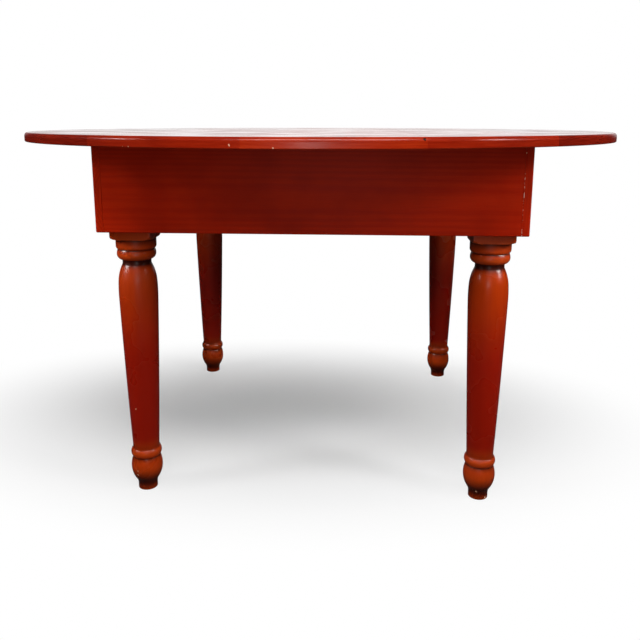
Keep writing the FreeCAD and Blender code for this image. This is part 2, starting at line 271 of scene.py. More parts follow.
def arc(start: Pair, end: Pair, radius: float, centre_left: bool, steps: int) -> np.ndarray:
    """Points on a circle's arc between two points, by its centre and turning angle.

    The centre lies on the chord's middle normal at sqrt(radius^2 - (chord / 2)^2), to the left
    or right of the way from start to end. The points stand at equal angles about it.

    Args:
        start: First point.
        end: Last point.
        radius: Radius of the arc.
        centre_left: True if the centre lies to the left of the way.
        steps: Number of steps along the arc.

    Returns:
        The points after start, up to and with end, one row each.
    """
    first, last = np.array(start, float), np.array(end, float)
    chord = last - first
    length = float(np.hypot(*chord))
    side = 1.0 if centre_left else -1.0
    normal = np.array([-chord[1], chord[0]]) / length * side
    centre = (first + last) / 2.0 + normal * math.sqrt(max(radius**2 - (length / 2.0) ** 2, 0.0))
    begin = math.atan2(first[1] - centre[1], first[0] - centre[0])
    sweep = 2.0 * math.asin(min(length / 2.0 / radius, 1.0)) * side
    angles = begin + sweep * np.linspace(0.0, 1.0, steps + 1)[1:]
    return centre + radius * np.stack([np.cos(angles), np.sin(angles)], axis=1)


def level_radius(run: float, rise: float) -> float:
    """Radius of the arc that leaves one of its two ends upright."""
    return (run**2 + rise**2) / (2.0 * abs(run))


def slow_waves(angles: np.ndarray, seed: int, terms: int, size: float) -> np.ndarray:
    """Sum of sines of 1, 2, 3 ... waves round the circle, as hand work leaves along an edge.

    Args:
        angles: Places round the circle in radians.
        seed: Seed of the random phases.
        terms: Highest number of waves round the circle.
        size: Size of the sum.

    Returns:
        One value for each angle, mostly within the size.
    """
    phases = np.random.default_rng(seed).uniform(0.0, TURN, terms)
    waves = [np.sin((k + 1) * angles + phases[k]) / math.sqrt(k + 1.0) for k in range(terms)]
    return size * np.sum(waves, axis=0) / math.sqrt(terms)


def spread(x: np.ndarray, y: np.ndarray, z: np.ndarray) -> np.ndarray:
    """Join three coordinates into points, each first repeated to their common shape."""
    return np.stack(np.broadcast_arrays(x, y, z), axis=-1)


def spun(points: np.ndarray, angle: float) -> np.ndarray:
    """Turn points about the upright axis: x' = x cos a - y sin a, y' = x sin a + y cos a.

    Args:
        points: Points with their axes last.
        angle: Turn in radians, anticlockwise from above.

    Returns:
        The turned points.
    """
    cosine, sine = math.cos(angle), math.sin(angle)
    x, y = points[..., 0], points[..., 1]
    return spread(x * cosine - y * sine, x * sine + y * cosine, points[..., 2])


def round_about(reach: np.ndarray, heights: np.ndarray, angles: np.ndarray) -> np.ndarray:
    """Set a reach at each height (row) and angle (column): x = r cos a, y = r sin a, z = h."""
    return spread(reach * np.cos(angles), reach * np.sin(angles), heights[:, None])


def second_finish(piece: Piece, finish: Material, chosen: np.ndarray) -> None:
    """Give the chosen faces of a piece a second finish."""
    piece.data.materials.append(finish)
    piece.data.polygons.foreach_set("material_index", chosen.astype(np.int32))


def dress(piece: Piece, material: Material, slot: Slot, *nodes: str) -> None:
    """Give a new piece its finish and body, and hide the CAD nodes that it stands for.

    Args:
        piece: The finished object.
        material: Its finish.
        slot: Not used.
        *nodes: CAD nodes that the piece replaces.
    """
    piece.data.materials.clear()
    piece.data.materials.append(material)
    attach(piece, "root")
    if nodes:
        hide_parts(*nodes)
    LOG.info("%s: %d faces, %s", piece.name, len(piece.data.polygons), material.name)


# ---- Finishes


@dataclass(frozen=True)
class Chip:
    """A small spot where the finish is knocked off or filled with dirt."""

    place_mm: Triple
    size_mm: float
    pale: bool = True
    raggedness: float = 1.6

    def mask(self, tree: Tree, place: Socket) -> Socket:
        """Mask the spot: where the distance to its middle, moved by noise, is under its size.

        Args:
            tree: The material's node tree.
            place: Object coordinates.

        Returns:
            1 on the chip and 0 elsewhere.
        """
        noise = {"Scale": 450.0, "Detail": 1.0}
        rough = add_node(tree, "TexNoise", noise, {"Vector": place}).outputs["Color"]
        throw = {"operation": "MULTIPLY_ADD", 1: (self.size_mm * self.raggedness * MM,) * 3}
        moved = add_node(tree, "VectorMath", throw, {0: rough, 2: place}).outputs[0]
        # The noise is about a half in the mean, so the middle moves by half the throw
        shift = self.size_mm * self.raggedness / 2.0
        middle = tuple((value + shift) * MM for value in self.place_mm)
        apart = {"operation": "DISTANCE", 1: middle}
        far = add_node(tree, "VectorMath", apart, {0: moved}).outputs["Value"]
        size = {"operation": "LESS_THAN", 1: self.size_mm * MM}
        return add_node(tree, "Math", size, {0: far}).outputs[0]


@dataclass(frozen=True)
class OpenJoint:
    """An upright joint whose edges have lost some finish: a dotted pale line."""

    x_mm: float
    low_mm: float
    high_mm: float
    width_mm: float = 1.3

    def mask(self, tree: Tree, place: Socket) -> Socket:
        """Mask the joint: near its line in x, between its two heights, where noise is high.

        Args:
            tree: The material's node tree.
            place: Object coordinates.

        Returns:
            1 on the pale dots of the joint and 0 elsewhere.
        """
        parts = add_node(tree, "SeparateXYZ", None, {0: place}).outputs
        line = {"operation": "COMPARE", 1: self.x_mm * MM, 2: self.width_mm * MM / 2.0}
        near = add_node(tree, "Math", line, {0: parts["X"]}).outputs[0]
        middle = (self.low_mm + self.high_mm) / 2.0 * MM
        span = {"operation": "COMPARE", 1: middle, 2: (self.high_mm - self.low_mm) / 2.0 * MM}
        within = add_node(tree, "Math", span, {0: parts["Z"]}).outputs[0]
        noise = {"Scale": 160.0, "Detail": 2.0}
        dots = add_node(tree, "TexNoise", noise, {"Vector": place}).outputs["Fac"]
        high = add_node(tree, "Math", {"operation": "GREATER_THAN", 1: 0.5}, {0: dots}).outputs[0]
        both = add_node(tree, "Math", TIMES, {0: near, 1: within}).outputs[0]
        return add_node(tree, "Math", TIMES, {0: both, 1: high}).outputs[0]


@dataclass(frozen=True)
class Growth:
    """Growth rings of the tree: cylinders round the heart, which lies beside the piece."""

    heart_mm: Triple
    ring_mm: float
    turn_degrees: float = 0.0
    run: float = 22.0

    def nodes(self, tree: Tree, place: Socket, grain: Grain) -> tuple[Socket, Socket]:
        """Add the rings and the fibres.

        The rings are sin(20 k r), where r is the distance from the heart across the grain and
        k is 2 pi / (20 ring). Coordinates along the grain are divided by the run, so that every
        pattern is drawn out along the fibres.

        Args:
            tree: The material's node tree.
            place: Object coordinates.
            grain: The fibres' direction, before it turns about the upright axis.

        Returns:
            The rings and the fibre streaks, both from 0 to 1.
        """
        stretch = [1.0, 1.0, 1.0]
        stretch[grain.value] = self.run
        settings = {
            "vector_type": "TEXTURE", "Scale": stretch,
            "Location": [value * MM for value in self.heart_mm],
            "Rotation": (0.0, 0.0, math.radians(self.turn_degrees)),
        }
        along = add_node(tree, "Mapping", settings, {"Vector": place}).outputs["Vector"]
        waves = {
            "wave_type": "RINGS", "rings_direction": "XYZ"[grain.value],
            "Scale": TURN / (20.0 * self.ring_mm * MM), "Distortion": 7.0, "Detail": 3.0,
            "Detail Scale": 0.28, "Detail Roughness": 0.55,
        }
        rings = add_node(tree, "TexWave", waves, {"Vector": along}).outputs["Fac"]
        # Bundles of fibres, about 2 mm apart
        noise = {"Scale": 420.0, "Detail": 3.0, "Roughness": 0.6}
        return rings, add_node(tree, "TexNoise", noise, {"Vector": along}).outputs["Fac"]


@dataclass(frozen=True)
class StainedWood:
    """Red-brown stain rubbed into the wood, under satin varnish.

    The eye sees a deep, even red with faint growth rings. Recesses are darker by settled stain
    and by painted shade, crests lighter by rubbing and by a painted highlight, and a given band
    of heights takes the deep colour as painted shade.
    """

    name: str
    grain: Grain
    growth: Growth
    light: str
    dark: str
    deep: str
    # Colour of the recesses: stain settled there, and painted shade
    stain_and_shade_colour: str = "2A0603"
    # Colour of the crests: rubbed through, and a painted highlight
    rubbed: str = "B4532E"
    surface: Surface = Surface.PLAIN
    roughness: float = 0.34
    gloss: float = 0.30
    relief: float = 0.08
    ring_share: float = 0.45
    cloud_share: float = 0.40
    # Heights where a band of the deep colour rises and falls: painted shade, darker down the legs'
    # vase
    painted_shade_between_mm: tuple[float, float, float, float] | None = None
    chips: tuple[Chip, ...] = ()
    joints: tuple[OpenJoint, ...] = ()

    def build(self) -> Material:
        """Make the material.

        Returns:
            The material, with its rings, fibres, clouds of stain, rubbing and chips, painted shade
            and highlight, and varnish.
        """
        material, tree = new_material(self.name)
        place = add_node(tree, "TexCoord").outputs["Object"]
        rings, fibres = self.growth.nodes(tree, place, self.grain)
        # Cloudy take-up of the stain, about 120 mm across
        slow = {"Scale": 8.0, "Detail": 3.0, "Roughness": 0.5}
        clouds = add_node(tree, "TexNoise", slow, {"Vector": place}).outputs["Fac"]
        figure = add_node(tree, "Mix", {0: self.ring_share}, {2: fibres, 3: rings}).outputs[0]
        if self.surface is Surface.CUT_EDGE:
            # Round the cut edge lie the layers of the end grain, about 3 mm apart
            flat = add_node(tree, "Mapping", {"Scale": (14.0, 14.0, 330.0)}, {"Vector": place})
            layers = {"Scale": 1.0, "Detail": 3.0, "Roughness": 0.65}
            figure = add_node(tree, "TexNoise", layers, {"Vector": flat.outputs[0]}).outputs["Fac"]
        # A rubbed face is glossier in cloudy patches, a plain one along its figure
        rubbed = self.surface is Surface.RUBBED_FACE
        start, stop = (0.35, 0.65) if rubbed else (0.0, 1.0)
        levels = {1: start, 2: stop, 3: self.roughness - 0.05, 4: self.roughness + 0.07}
        led = {0: clouds if rubbed else figure}
        roughness = add_node(tree, "MapRange", {**EASED, **levels}, led).outputs[0]
        wood = self.colour(tree, place, figure, clouds)
        half = {"operation": "MULTIPLY_ADD", 1: 0.5}
        relief = add_node(tree, "Math", half, {0: rings, 2: fibres}).outputs[0]
        deep = {"Strength": self.relief, "Distance": 0.0003}
        bump = add_node(tree, "Bump", deep, {"Height": relief}).outputs["Normal"]
        shader = add_node(
            tree, "BsdfPrincipled", {"IOR": 1.5, "Specular IOR Level": self.gloss},
            {"Base Color": wood, "Roughness": roughness, "Normal": bump},
        ).outputs[0]
        add_node(tree, "OutputMaterial", None, {"Surface": shader})
        return material

    def colour(self, tree: Tree, place: Socket, figure: Socket, clouds: Socket) -> Socket:
        """Mix the wood's colour: figure, clouds of stain, a band of painted shade, stain and
        painted shade in recesses, rubbing and painted highlight on crests, chips and joints.

        Each layer covers those before it by its own share.

        Args:
            tree: The material's node tree.
            place: Object coordinates.
            figure: Rings and fibres together.
            clouds: Slow noise of the stain.

        Returns:
            The base colour.
        """
        even = add_node(tree, "MapRange", {**EASED, 1: 0.22, 2: 0.78}, {0: figure}).outputs[0]
        ends = {**COLOURS, 6: linear(self.dark), 7: linear(self.light)}
        wood = add_node(tree, "Mix", ends, {0: even}).outputs[2]
        pools = {**EASED, 1: 0.42, 2: 0.68, 3: 0.0, 4: self.cloud_share}
        layers = [(add_node(tree, "MapRange", pools, {0: clouds}).outputs[0], self.deep)]
        # A band of the deep colour by height: painted shade
        if self.painted_shade_between_mm is not None:
            height = add_node(tree, "SeparateXYZ", None, {0: place}).outputs["Z"]
            foot, start, stop, end = (value * MM for value in self.painted_shade_between_mm)
            rise, fall = (
                add_node(tree, "MapRange", {**EASED, **levels}, {0: height}).outputs[0]
                for levels in ({1: foot, 2: start}, {1: stop, 2: end, 3: 0.9, 4: 0.0})
            )
            layers.append((add_node(tree, "Math", TIMES, {0: rise, 1: fall}).outputs[0], self.deep))
        # Recesses take settled stain and painted shade; crests take rubbing and a painted highlight
        hollow_stain_and_shade, crest_rub_and_highlight = (
            add_node(tree, "Attribute", {"attribute_name": label}).outputs["Fac"]
            for label in ("hollow_stain_and_shade", "crest_rub_and_highlight")
        )
        patchy = {**EASED, 1: 0.40, 2: 0.60, 3: 0.5, 4: 1.0}
        patches = add_node(tree, "MapRange", patchy, {0: clouds}).outputs[0]
        rub_and_highlight_share = add_node(tree, "Math", TIMES, {0: crest_rub_and_highlight, 1: patches}).outputs[0]
        layers += [(hollow_stain_and_shade, self.stain_and_shade_colour), (rub_and_highlight_share, self.rubbed)]
        layers += [(c.mask(tree, place), "E6B090" if c.pale else "2A0805") for c in self.chips]
        layers += [(joint.mask(tree, place), "D8A898") for joint in self.joints]
        for share, stain in layers:
            over = {**COLOURS, 7: linear(stain)}
            wood = add_node(tree, "Mix", over, {0: share, 6: wood}).outputs[2]
        return wood


@dataclass(frozen=True)
class BareWood:
    """Planed pine without any finish, gone brown with age: matt, with clear growth rings."""

    name: str
    grain: Grain
    growth: Growth
    light: str = "BE9868"
    dark: str = "8E673E"
    dust: str = "7A6650"

    def build(self) -> Material:
        """Make the material.

        Returns:
            The material, with rings, fibres and the grey-brown of dust.
        """
        material, tree = new_material(self.name)
        place = add_node(tree, "TexCoord").outputs["Object"]
        rings, fibres = self.growth.nodes(tree, place, self.grain)
        figure = add_node(tree, "Mix", {0: 0.62}, {2: fibres, 3: rings}).outputs[0]
        ends = {**COLOURS, 6: linear(self.light), 7: linear(self.dark)}
        wood = add_node(tree, "Mix", ends, {0: figure}).outputs[2]
        slow = {"Scale": 14.0, "Detail": 4.0, "Roughness": 0.6}
        dust = add_node(tree, "TexNoise", slow, {"Vector": place}).outputs["Fac"]
        thin = {**EASED, 1: 0.45, 2: 0.75, 3: 0.0, 4: 0.5}
        share = add_node(tree, "MapRange", thin, {0: dust}).outputs[0]
        over = {**COLOURS, 7: linear(self.dust)}
        wood = add_node(tree, "Mix", over, {0: share, 6: wood}).outputs[2]
        deep = {"Strength": 0.25, "Distance": 0.0004}
        bump = add_node(tree, "Bump", deep, {"Height": figure}).outputs["Normal"]
        shader = add_node(
            tree, "BsdfPrincipled", {"Roughness": 0.74, "Specular IOR Level": 0.3},
            {"Base Color": wood, "Normal": bump},
        ).outputs[0]
        add_node(tree, "OutputMaterial", None, {"Surface": shader})
        return material


@dataclass(frozen=True)
class PlainSteel:
    """Zinc-plated mild steel, rolled and cut: grey, dulled in cloudy spots by age."""

    name: str = "dull zinc-plated steel"
    colour: str = "9A9994"
    dull: str = "6A6660"

    def build(self) -> Material:
        """Make the material.

        Returns:
            A metal with dull spots about 4 mm across.
        """
        material, tree = new_material(self.name)
        place = add_node(tree, "TexCoord").outputs["Object"]
        noise = {"Scale": 250.0, "Detail": 3.0}
        spots = add_node(tree, "TexNoise", noise, {"Vector": place}).outputs["Fac"]
        ends = {**COLOURS, 6: linear(self.colour), 7: linear(self.dull)}
        tone = add_node(tree, "Mix", ends, {0: spots}).outputs[2]
        levels = {**EASED, 3: 0.30, 4: 0.60}
        roughness = add_node(tree, "MapRange", levels, {0: spots}).outputs[0]
        shader = add_node(
            tree, "BsdfPrincipled", {"Metallic": 1.0}, {"Base Color": tone, "Roughness": roughness}
        ).outputs[0]
        add_node(tree, "OutputMaterial", None, {"Surface": shader})
        return material


# ---- Top


@dataclass
class PlankTop:
    """Planks that run from front to back, cut to a circle, with a rounded upper edge."""

    radius_mm: float = 672.5
    thickness_mm: float = 19.0
    underside_mm: float = 743.0
    upper_round_mm: float = 7.5
    lower_round_mm: float = 2.0
    seams_mm: tuple[float, ...] = (-366.5, -90.5, 196.5, 430.5)
    arris_wide_mm: float = 0.7
    arris_deep_mm: float = 0.35
    uneven_mm: float = 0.5
    uneven_in_mm: float = 12.0
    uneven_waves: int = 9
    uneven_seed: int = 4
    face_degrees: float = 18.0
    columns: int = 720
    names: tuple[str, ...] = ("far_left", "left", "middle", "right", "far_right")

    def profile(self) -> np.ndarray:
        """Half-section of the disc from near the middle of its underside round to its upper face.

        Returns:
            Radius and height of each point in millimetres, one row each.
        """
        low, high = self.lower_round_mm, self.upper_round_mm
        edge, top = self.radius_mm, self.thickness_mm
        # Rows of points close beside each rounding keep its shading within it
        rings = np.append(np.linspace(0.0, 1.0, 9)[1:-1] * (edge - high), edge - high - 2.0)
        parts = [np.stack([rings, np.zeros_like(rings)], axis=1)]
        parts.append([[edge - low - 0.8, 0.0], [edge - low, 0.0]])
        parts.append(arc((edge - low, 0.0), (edge, low), low, True, 6))
        parts.append([[edge, low + 0.8], [edge, top - high - 0.8], [edge, top - high]])
        parts.append(arc((edge, top - high), (edge - high, top), high, True, 16))
        parts.append(np.stack([rings[::-1], np.full_like(rings, top)], axis=1))
        return np.concatenate(parts)

    def disc(self) -> np.ndarray:
        """Carry the half-section round the upright axis.

        Hand work leaves the edge out of true by a fraction of a millimetre, inwards only, worked
        out as a sum of sines of the angle.

        Returns:
            Points by ring, by place round the ring and by axis, in metres.
        """
        section = self.profile()
        angles = np.linspace(0.0, TURN, self.columns, endpoint=False)
        near = self.uneven_in_mm
        at_edge = np.clip((section[:, 0] - self.radius_mm + near) / near, 0.0, 1.0)
        waves = slow_waves(angles, self.uneven_seed, self.uneven_waves, self.uneven_mm)
        reach = section[:, :1] - at_edge[:, None] * np.abs(waves)[None, :]
        return round_about(reach, section[:, 1] + self.underside_mm, angles) * MM

    def cut_plank(self, whole: bpy.types.Mesh, name: str, sides: tuple) -> Piece:
        """Cut one plank from the disc, and ease its arrises along the seams.

        An extra row of points stands an arris width inside each seam. The points on the seam
        itself move into the plank by the arris depth.

        Args:
            whole: Mesh of the disc.
            name: The plank's name.
            sides: Its left and right seam in millimetres, or None at the rim.

        Returns:
            The plank.
        """
        plank = whole.copy()
        plank.name = "plank_" + name
        work = bmesh.new()
        work.from_mesh(plank)
        for seam, side in zip(sides, (-1.0, 1.0)):
            if seam is None:
                continue
            inner = (seam - side * self.arris_wide_mm) * MM
            for place, clear in ((inner, False), (seam * MM, True)):
                cut = bmesh.ops.bisect_plane(
                    work, geom=work.verts[:] + work.edges[:] + work.faces[:], dist=1e-7,
                    plane_co=(place, 0.0, 0.0), plane_no=(side, 0.0, 0.0), clear_outer=clear,
                )
            rim = [item for item in cut["geom_cut"] if isinstance(item, bmesh.types.BMEdge)]
            bmesh.ops.holes_fill(work, edges=rim)
        bmesh.ops.recalc_face_normals(work, faces=work.faces)
        work.to_mesh(plank)
        work.free()
        points = np.empty(len(plank.vertices) * 3)
        plank.vertices.foreach_get("co", points)
        points = points.reshape(-1, 3)
        deep = self.arris_deep_mm * MM
        low = self.underside_mm * MM + deep
        high = (self.underside_mm + self.thickness_mm) * MM - deep
        for seam in sides:
            if seam is not None:
                on_seam = np.abs(points[:, 0] - seam * MM) < 1e-6
                points[on_seam, 2] = np.clip(points[on_seam, 2], low, high)
                reach = np.abs(points[on_seam, 1]).max() - deep
                points[on_seam, 1] = np.clip(points[on_seam, 1], -reach, reach)
        plank.vertices.foreach_set("co", points.ravel())
        plank.update()
        plank.shade_smooth()
        plank.set_sharp_from_angle(angle=math.radians(self.face_degrees))
        return new_object("plank_" + name, plank)

    def build(self, finishes: list[tuple[Material, Material]]) -> None:
        """Make the planks from the disc.

        Faces whose normal is within the face's angle of straight up take the finish of the
        upper face, all others that of the edge.

        Args:
            finishes: For each plank, from left to right, the finish of its upper face and edge.
        """
        whole = tube_piece("top_disc", self.disc())
        bounds = (None, *self.seams_mm, None)
        for number, name in enumerate(self.names):
            piece = self.cut_plank(whole.data, name, bounds[number : number + 2])
            face, edge = finishes[number]
            dress(piece, face, Slot.STAINED, "top_plank_" + name)
            normals = np.empty(len(piece.data.polygons) * 3)
            piece.data.polygons.foreach_get("normal", normals)
            steep = normals[2::3] < math.cos(math.radians(self.face_degrees))
            second_finish(piece, edge, steep)
        bpy.data.objects.remove(whole)


# ---- Apron


@dataclass
class ApronBox:
    """Four boards: the side boards lap the square ends of the front and back boards."""

    square_mm: float = 835.0
    bottom_mm: float = 571.0
    height_mm: float = 172.0
    thickness_mm: float = 19.0
    lap_mm: float = 16.0
    lower_round_mm: float = 2.5
    corner_round_mm: float = 3.0
    joint_mm: float = 0.35

    def levels(self) -> tuple[np.ndarray, np.ndarray]:
        """Heights of the outline, and how far it stands back: a quarter circle at the bottom.

        Returns:
            Heights above the lower edge and the set-back at each, in millimetres.
        """
        turn = np.linspace(0.0, QUARTER, 9)
        low = self.lower_round_mm
        heights = np.concatenate([low - low * np.cos(turn), [low + 1.0, self.height_mm]])
        back = np.concatenate([low - low * np.sin(turn), [0.0, 0.0]])
        return heights, back

    def side_outline(self) -> tuple[np.ndarray, np.ndarray]:
        """Plan of a side board, its outer face on y = 0, with rounded outer corners.

        Returns:
            Points, and for each point the way that it steps back near the lower edge.
        """
        half, thick = self.square_mm / 2.0, self.thickness_mm
        lap, small = self.lap_mm - self.joint_mm, self.corner_round_mm
        right = np.concatenate([
            [[half - small - 1.0, 0.0], [half - small, 0.0]],
            arc((half - small, 0.0), (half, small), small, True, 6),
            [[half, small + 1.0], [half, lap], [half - thick, lap], [half - thick, thick]],
        ])
        back = np.zeros_like(right)
        back[:8, 1] = np.clip(1.0 - right[:8, 1] / small, 0.0, 1.0)
        back[:10, 0] = -np.clip((right[:10, 0] - half + small) / small, 0.0, 1.0)
        left, left_back = right[::-1] * [-1.0, 1.0], back[::-1] * [-1.0, 1.0]
        return np.concatenate([right, left]), np.concatenate([back, left_back])

    def face_outline(self) -> tuple[np.ndarray, np.ndarray]:
        """Plan of a front or back board, its outer face on y = 0.

        Returns:
            Points, and for each point the way that it steps back near the lower edge.
        """
        half, thick = self.square_mm / 2.0 - self.lap_mm - self.joint_mm / 2.0, self.thickness_mm
        points = np.array([[-half, 0.0], [half, 0.0], [half, thick], [-half, thick]])
        back = np.array([[0.0, 1.0], [0.0, 1.0], [0.0, 0.0], [0.0, 0.0]])
        return points, back

    def board(self, name: str, outline: tuple, turns: int) -> Piece:
        """Carry a plan up through the levels and turn it to its side of the box.

        Each ring is the plan moved by its step-back times the level's set-back.

        Args:
            name: The piece's name.
            outline: Plan points and their step-back.
            turns: Quarter turns from the front.

        Returns:
            The board.
        """
        points, back = outline
        heights, set_back = self.levels()
        plan = points[None, :, :] + back[None, :, :] * set_back[:, None, None]
        height = (heights + self.bottom_mm)[:, None]
        grid = spread(plan[..., 0], plan[..., 1] - self.square_mm / 2.0, height)
        return ring_group(name, [spun(grid, turns * QUARTER) * MM])

    def build(self, finishes: dict[str, Material]) -> None:
        """Make the four boards.

        Args:
            finishes: Finish of each side by name.
        """
        for turns, side in enumerate(("front", "right", "back", "left")):
            outline = self.side_outline() if turns % 2 else self.face_outline()
            board = self.board("apron_board_" + side, outline, turns)
            dress(board, finishes[side], Slot.STAINED, "apron_" + side)


# ---- Legs


@dataclass
class TurnedLeg:
    """A leg turned from square stock: foot, urn, bead, long vase, collar, band and block."""

    place_mm: float = 357.5
    height_mm: float = 743.0
    block_mm: float = 82.0
    flat_depth_mm: float = 17.0
    flat_from_mm: float = 603.0
    columns: int = 192
    arris_power: float = 70.0
    foot_arris: float = 1.5
    ankle: Pair = (20.3, 11.0)
    urn: Pair = (33.0, 42.0)
    ogee_share: float = 0.3
    groove: Pair = (28.4, 23.0)
    bead: Pair = (3.9, 19.5)
    taper: Pair = (27.7, 5.5)
    belly: Pair = (39.7, 338.0)
    belly_curve: float = 400.0
    belly_below: float = 11.0
    belly_above: float = 24.0
    taper_bulge: float = 0.7
    neck: Pair = (28.9, 61.0)
    neck_height: float = 8.5
    collar: Pair = (39.3, 12.0)
    quirk: Pair = (37.0, 10.0)
    band: Pair = (40.6, 7.0)
    band_height: float = 15.0
    shoulder: Pair = (46.5, 12.0)
    # Reach of each mean, and the depth and height at which the dark and the light share are full
    dark_and_light_means_mm: tuple[Triple, ...] = ((9.0, 1.5, 2.6), (30.0, 3.8, 5.4))
    mean_step_mm: float = 0.5
    # Highest share of stain and painted shade, and of rubbing and painted highlight
    most_dark_and_light: Pair = (0.92, 0.85)
    # Widths of the block, down from its top, that stay without the dark and light shares
    plain_blocks: float = 2.2
    # Heights and shares of a darkening towards the floor: painted shade and dirt
    shade_and_dirt_heights_mm: tuple[float, ...] = (0.0, 8.0, 14.0, 32.0, 52.0)
    shade_and_dirt_shares: tuple[float, ...] = (0.45, 0.6, 0.88, 0.8, 0.0)

    def profile(self) -> np.ndarray:
        """Half-section of the turning from the floor to the top of the block.

        Hollows and swellings are circular arcs, each upright where it meets its widest or
        narrowest place; the urn's ogee is two arcs that meet on their common chord.

        Returns:
            Radius and height of each point in millimetres, one row each.
        """
        radius, level = self.ankle
        rows = [np.array([[radius - self.foot_arris, 0.0]])]

        def reach(x: float, height: float, curve: float, left: bool, steps: int) -> None:
            """Add an arc from the last point to another."""
            rows.append(arc(tuple(rows[-1][-1]), (x, height), curve, left, steps))

        reach(radius, self.foot_arris, self.foot_arris, True, 4)
        rows.append(np.array([[radius, level]]))
        run, rise = self.urn[0] - radius, self.urn[1]
        both, share = level_radius(run, rise), self.ogee_share
        reach(radius + run * share, level + rise * share, both * share, False, 8)
        level += rise
        reach(self.urn[0], level, both * (1.0 - share), True, 14)
        level += self.groove[1]
        run = self.urn[0] - self.groove[0]
        reach(self.groove[0], level, level_radius(run, self.groove[1]), True, 10)
        proud, high = self.bead
        level += high
        reach(self.groove[0], level, ((high / 2.0) ** 2 + proud**2) / (2.0 * proud), True, 16)
        level += self.taper[1]
        run = self.groove[0] - self.taper[0]
        reach(self.taper[0], level, level_radius(run, self.taper[1]), False, 4)
        widest = level + self.belly[1]
        centre = self.belly[0] - self.belly_curve
        below = centre + math.sqrt(self.belly_curve**2 - self.belly_below**2)
        above = centre + math.sqrt(self.belly_curve**2 - self.belly_above**2)
        half = math.hypot(below - self.taper[0], self.belly[1] - self.belly_below) / 2.0
        bulge = (half**2 + self.taper_bulge**2) / (2.0 * self.taper_bulge)
        reach(below, widest - self.belly_below, bulge, True, 40)
        reach(above, widest + self.belly_above, self.belly_curve, True, 8)
        level = widest + self.neck[1]
        run, rise = above - self.neck[0], self.neck[1] - self.belly_above
        sine = self.belly_above / self.belly_curve
        cosine = math.sqrt(1.0 - sine**2)
        curve = (run**2 + rise**2) / (2.0 * (cosine * run - sine * rise))
        reach(self.neck[0], level, curve, True, 18)
        level += self.neck_height
        rows.append(np.array([[self.neck[0], level]]))
        for (wide, high), steps in ((self.collar, 12), (self.quirk, 8), (self.band, 6)):
            level += high
            reach(wide, level, level_radius(wide - rows[-1][-1][0], high), True, steps)
        level += self.band_height
        rows.append(np.array([[self.band[0], level], [self.shoulder[0], level]]))
        wide, round_off = self.shoulder
        level += round_off
        reach(wide + round_off, level, round_off, True, 14)
        rows.append(np.array([[self.block_mm, level + 0.01], [self.block_mm, self.flat_from_mm]]))
        rows.append(np.array([[self.block_mm, self.flat_from_mm], [self.block_mm, self.height_mm]]))
        return np.concatenate(rows)

    def dark_and_light_shares(self, section: np.ndarray) -> tuple[np.ndarray, np.ndarray]:
        """Tell sunk places from proud ones by the radius against its mean over the heights around.

        The mean is taken over a short reach, for beads and grooves, and over a long one, for
        the urn, the ankle and the neck. The stronger of the two counts. Painted shade and dirt
        darken the ankle and the foot of the urn by their height.

        Args:
            section: Radius and height of each point of the turning.

        Returns:
            How sunk each point lies, as stain and painted shade, and how proud it stands, as
            rubbing and painted highlight, from 0 to 1.
        """
        heights = np.arange(0.0, self.height_mm, self.mean_step_mm)
        # Flats have two radii at one height, so each point is raised a little over the last
        steps = section[:, 1] + np.arange(len(section)) * 1e-6
        radii = np.minimum(np.interp(heights, steps, section[:, 0]), self.shoulder[0])
        # Painted shade and dirt by height, darkest at the ankle
        deep = np.interp(section[:, 1], self.shade_and_dirt_heights_mm, self.shade_and_dirt_shares)
        high = np.zeros(len(section))
        for reach, hollow_mm, crest_mm in self.dark_and_light_means_mm:
            size = int(reach / self.mean_step_mm)
            window = np.hanning(size * 2 + 1)
            padded = np.pad(radii, size, mode="edge")
            mean = np.convolve(padded, window / window.sum(), mode="valid")
            proud = np.interp(section[:, 1], heights, radii - mean)
            deep, high = np.maximum(deep, -proud / hollow_mm), np.maximum(high, proud / crest_mm)
        turning = section[:, 1] < self.height_mm - self.block_mm * self.plain_blocks
        hollow_stain_and_shade, crest_rub_and_highlight = self.most_dark_and_light
        return np.clip(deep, 0.0, hollow_stain_and_shade) * turning, np.clip(high, 0.0, crest_rub_and_highlight) * turning

    def build_one(self, name: str, side_x: float, side_y: float) -> Piece:
        """Make a leg: at each angle a its reach is the least of the turning and the square.

        The square's reach is half / (|cos a|^p + |sin a|^p)^(1/p) with a high power p, which
        softens its arrises. Above the flat's lower end, the reach towards the inner corner is
        also held to flat / cos(a - corner).

        Args:
            name: The piece's name.
            side_x: -1 for a left leg, 1 for a right leg.
            side_y: -1 for a front leg, 1 for a back leg.

        Returns:
            The leg, with its dark and light shares as point attributes.
        """
        section = self.profile()
        angles = np.linspace(0.0, TURN, self.columns, endpoint=False)
        power = self.arris_power
        cosine, sine = np.abs(np.cos(angles)), np.abs(np.sin(angles))
        square = self.block_mm / 2.0 / (cosine**power + sine**power) ** (1.0 / power)
        reach = np.minimum(section[:, :1], square[None, :])
        facing = np.cos(angles - math.atan2(-side_y, -side_x))
        flat = self.block_mm / math.sqrt(2.0) - self.flat_depth_mm
        # Away from the inner corner, this bound lies far outside the square
        held = flat / np.maximum(facing, 0.2)
        reach[-2:] = np.minimum(reach[-2:], held[None, :])
        grid = round_about(reach, section[:, 1], angles)
        grid = grid + np.array([side_x * self.place_mm, side_y * self.place_mm, 0.0])
        leg = tube_piece(name, grid * MM)
        for label, amount in zip(("hollow_stain_and_shade", "crest_rub_and_highlight"), self.dark_and_light_shares(section)):
            values = np.append(np.repeat(amount, self.columns), [0.0, 0.0])
            leg.data.attributes.new(label, "FLOAT", "POINT").data.foreach_set("value", values)
        return leg

